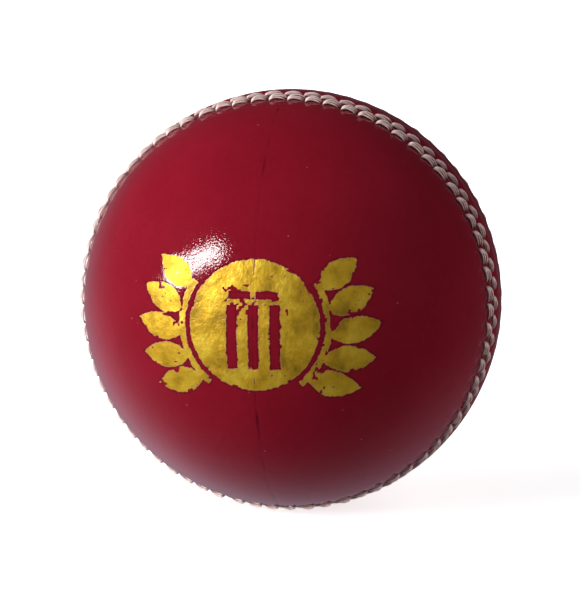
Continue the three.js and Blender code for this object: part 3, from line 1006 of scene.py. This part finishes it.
leather = crimson_leather()
thread = seam_thread()
foil = gold_foil()

for cup, names in (("front", ("left", "right")), ("back", ("lower", "upper"))):
    add_quarter(cup, names[0], -1, leather)
    add_quarter(cup, names[1], 1, leather)
    for row_name in ROWS[cup]:
        add_stitches(cup, row_name, thread)
for foil_name, foil_distance in STAMPS.items():
    add_foil(foil_name, foil_distance, foil)

INNER_MATERIALS = {
    "wool_yarn": inner_material("wool_yarn", (0.62, 0.54, 0.41), (0.5, 0.43, 0.32), 1.5, 0.95),
    "cut_cork": inner_material("cut_cork", (0.48, 0.3, 0.15), (0.2, 0.1, 0.05), 0.8, 0.85),
    "cork_rubber": inner_material("cork_rubber", (0.28, 0.16, 0.08), (0.06, 0.04, 0.03), 0.6, 0.8),
    "lining_leather": inner_material("lining_leather", (0.46, 0.29, 0.15), (0.3, 0.17, 0.08), 2.0, 0.9),
    "hidden_thread": inner_material("hidden_thread", (0.58, 0.48, 0.36), (0.4, 0.3, 0.2), 3.0, 0.85),
}
add_core()
for cup in ("front", "back"):
    add_lining(cup)
    add_closing_thread(cup)
    add_quarter_thread(cup)


# ---- stage, light and camera -----------------------------------------

CAMERA_AZIMUTH = math.radians(10.0)
CAMERA_ELEVATION = math.radians(7.2)
CAMERA_DISTANCE = 12 * BALL * MM
CAMERA_LENS = 149.4
CAMERA_AIM = -0.24 * MM  # both to the right and up, from the ball's centre
FLOOR_HALF = 40.0
LAMP_DISTANCE = 1.2
WINDOW = (-0.797, 0.285, 0.532)  # directions are right, up and back from the camera
AMBIENT = 0.025
WORLD_LOBES = [  # direction, tightness and strength of the light that comes from round it
    ((-0.5, -0.45, -0.8), 6.0, 0.5),
    ((-0.05, -0.83, -0.56), 8.0, 0.12),
    ((0.5, -0.66, -0.56), 9.0, 0.13),
]
GLOWS = {  # direction, strength and spread of the lights that only matt surfaces show
    "window_glow": (WINDOW, 1.5, 25),
    "side_glow": ((-0.92, 0.17, 0.33), 4.3, 60),
    "right_glow": ((0.75, 0.42, 0.3), 1.2, 70),
    "low_glow": ((-0.43, -0.48, -0.77), 0.4, 60),
    "corner_glow": ((0.55, -0.75, -0.25), 1.4, 60),
}


def camera_axes():
    """The camera's right, up and backward directions."""
    back = Vector((math.sin(CAMERA_AZIMUTH) * math.cos(CAMERA_ELEVATION),
                   -math.cos(CAMERA_AZIMUTH) * math.cos(CAMERA_ELEVATION), math.sin(CAMERA_ELEVATION)))
    right = Vector((math.cos(CAMERA_AZIMUTH), math.sin(CAMERA_AZIMUTH), 0))
    return right, back.cross(right), back


def add_camera():
    right, up, back = camera_axes()
    target = (right + up) * CAMERA_AIM
    data = bpy.data.cameras.new("camera")
    data.lens = CAMERA_LENS
    data.sensor_width = 36
    data.clip_start, data.clip_end = 0.01, 20
    camera = bpy.data.objects.new("camera", data)
    camera.location = target + back * CAMERA_DISTANCE
    camera.rotation_euler = back.to_track_quat("Z", "Y").to_euler()
    bpy.context.scene.collection.objects.link(camera)
    bpy.context.scene.camera = camera


def add_stage():
    """A wide pale floor that the ball rests on. It glows a little, so that it looks evenly white, and it
    is left out of the light on the ball, which the world gives."""
    floor_z = float(cad_box[0][2])
    corners = [(x * FLOOR_HALF, y * FLOOR_HALF, floor_z) for x, y in ((-1, -1), (1, -1), (1, 1), (-1, 1))]
    mesh = bpy.data.meshes.new("floor")
    mesh.from_pydata(corners, [], [(0, 1, 2, 3)])
    floor = bpy.data.objects.new("floor", mesh)
    bpy.context.scene.collection.objects.link(floor)
    material, _, _ = new_material("pale_floor", (0.9, 0.9, 0.9), 0.9, Specular_IOR_Level=0.0,
                                  Emission_Color=(1, 1, 1, 1), Emission_Strength=0.75)
    mesh.materials.append(material)
    floor.visible_diffuse = floor.visible_glossy = floor.visible_shadow = False


def from_camera(right, up, back):
    """A direction in the scene from one given in the camera's axes."""
    camera_right, camera_up, camera_back = camera_axes()
    return (camera_right * right + camera_up * up + camera_back * back).normalized()


def add_lamp(name, kind, toward, strength):
    """A light that faces the ball from a direction."""
    light = bpy.data.lights.new(name, kind)
    light.energy = strength
    lamp = bpy.data.objects.new(name, light)
    lamp.location = toward * LAMP_DISTANCE
    lamp.rotation_euler = toward.to_track_quat("Z", "Y").to_euler()
    bpy.context.scene.collection.objects.link(lamp)
    return lamp


def add_lobe(tree, direction, toward, tightness, strength):
    """Light from the world round one direction."""
    facing = add_node(tree, "ShaderNodeVectorMath", i0=direction, i1=tuple(toward))
    facing.operation = "DOT_PRODUCT"
    falling = add_node(tree, "ShaderNodeMath", i0=facing.outputs["Value"], i1=tightness, i2=-tightness)
    falling.operation = "MULTIPLY_ADD"
    return arithmetic(tree, "MULTIPLY", arithmetic(tree, "EXPONENT", falling.outputs[0], 0.0), strength)


def add_world():
    """A white backdrop, with dimmer light from all round than it shows."""
    world = bpy.data.worlds.new("room")
    bpy.context.scene.world = world
    world.use_nodes = True
    tree = world.node_tree
    tree.nodes.clear()
    output = tree.nodes.new("ShaderNodeOutputWorld")
    direction = tree.nodes.new("ShaderNodeTexCoord").outputs["Generated"]
    total = AMBIENT
    for toward, tightness, strength in WORLD_LOBES:
        lobe = add_lobe(tree, direction, from_camera(*toward), tightness, strength)
        total = arithmetic(tree, "ADD", lobe, total)
    seen = add_node(tree, "ShaderNodeBackground", Color=(1, 1, 1, 1), Strength=1.0)
    ambient = add_node(tree, "ShaderNodeBackground", Color=(1.02, 0.9, 1.12, 1), Strength=total)
    rays = tree.nodes.new("ShaderNodeLightPath")
    either = tree.nodes.new("ShaderNodeMixShader")
    tree.links.new(rays.outputs["Is Camera Ray"], either.inputs[0])
    tree.links.new(ambient.outputs[0], either.inputs[1])
    tree.links.new(seen.outputs[0], either.inputs[2])
    tree.links.new(either.outputs[0], output.inputs[0])


def add_lights():
    window = add_lamp("window", "AREA", from_camera(*WINDOW), 10.5)
    window.data.shape = "RECTANGLE"
    window.data.size, window.data.size_y = 0.16, 0.70
    window.rotation_euler.rotate_axis("Z", math.radians(-52))
    window.visible_diffuse = False
    for name, (toward, strength, spread) in GLOWS.items():
        lamp = add_lamp(name, "SUN", from_camera(*toward), strength)
        lamp.data.angle = math.radians(spread)
        lamp.visible_glossy = False


bpy.context.scene.view_settings.view_transform = "Standard"
add_stage()
add_world()
add_camera()
add_lights()
